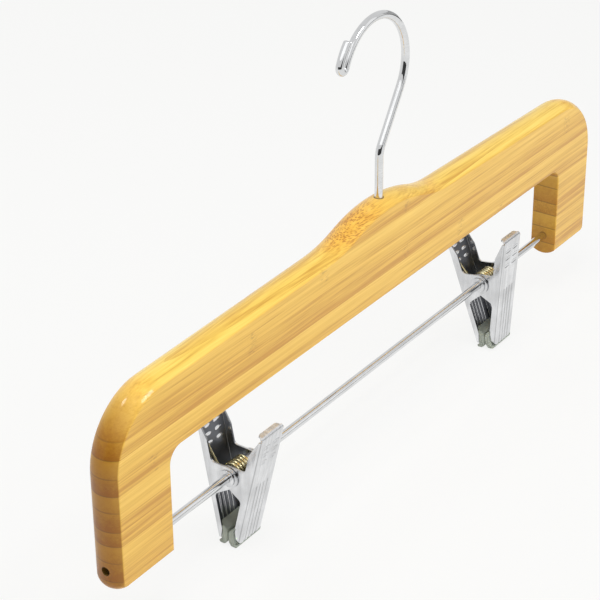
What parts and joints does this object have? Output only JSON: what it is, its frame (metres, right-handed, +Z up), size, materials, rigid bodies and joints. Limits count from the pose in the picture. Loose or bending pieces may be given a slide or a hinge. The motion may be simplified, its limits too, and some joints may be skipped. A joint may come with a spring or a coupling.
{
  "type": "skirt hanger",
  "caption": "Bamboo skirt hanger: inverted-U board with a swivel wire hook and spring clips that slide and turn on a steel rod between its legs.",
  "frame": {"origin": "inside of the hook, straight above the swivel axis, where it rests on a rail", "axes": "+X along the board to the right, +Y through its thickness to the back, +Z up"},
  "size_m": [0.36, 0.0341, 0.1908],
  "materials": {
    "lacquered_bamboo": "satin lacquer over glued bamboo strips",
    "chromed_wire": "bright chrome plate on drawn steel wire",
    "zinc_washer": "dull zinc plate",
    "chromed_sheet": "chrome plate on stamped sheet steel",
    "brassed_spring": "brassed spring wire",
    "soft_vinyl": "soft translucent grey-green vinyl"
  },
  "bodies": {
    "frame": {"bamboo_board": "lacquered_bamboo", "crossbar_rod": "chromed_wire", "hook_washer": "zinc_washer"},
    "hook": {"hook_wire": "chromed_wire"},
    "left_carrier": {"left_pivot_sleeve": "chromed_sheet"},
    "left_back": {"left_back_jaw": "chromed_sheet", "left_back_grip": "soft_vinyl", "left_spring": "brassed_spring"},
    "left_front": {"left_front_jaw": "chromed_sheet", "left_front_grip": "soft_vinyl"},
    "right_carrier": {"right_pivot_sleeve": "chromed_sheet"},
    "right_back": {"right_back_jaw": "chromed_sheet", "right_back_grip": "soft_vinyl", "right_spring": "brassed_spring"},
    "right_front": {"right_front_jaw": "chromed_sheet", "right_front_grip": "soft_vinyl"}
  },
  "joints": [
    {"name": "hook_swivel", "type": "hinge", "parent": "frame", "child": "hook", "pos_m": [0, 0, -0.09358], "axis": [0, 0, 1], "continuous": true},
    {"name": "left_clip_slide", "type": "slide", "parent": "frame", "child": "left_carrier", "axis": [1, 0, 0], "range_m": [-0.038, 0.0875]},
    {"name": "left_clip_swing", "type": "hinge", "parent": "left_carrier", "child": "left_back", "pos_m": [-0.0983, 0, -0.15448], "axis": [1, 0, 0], "continuous": true},
    {"name": "left_jaw_open", "type": "hinge", "parent": "left_back", "child": "left_front", "pos_m": [-0.0983, 0, -0.15448], "axis": [-1, 0, 0], "range_deg": [0, 36], "stiffness_Nm_per_rad": 0.15, "springref_deg": -51.57, "deforming": ["left_spring"]},
    {"name": "right_clip_slide", "type": "slide", "parent": "frame", "child": "right_carrier", "axis": [1, 0, 0], "range_m": [-0.0835, 0.0415]},
    {"name": "right_clip_swing", "type": "hinge", "parent": "right_carrier", "child": "right_back", "pos_m": [0.0947, 0, -0.15448], "axis": [1, 0, 0], "continuous": true},
    {"name": "right_jaw_open", "type": "hinge", "parent": "right_back", "child": "right_front", "pos_m": [0.0947, 0, -0.15448], "axis": [-1, 0, 0], "range_deg": [0, 36], "stiffness_Nm_per_rad": 0.15, "springref_deg": -51.57, "deforming": ["right_spring"]}
  ]
}
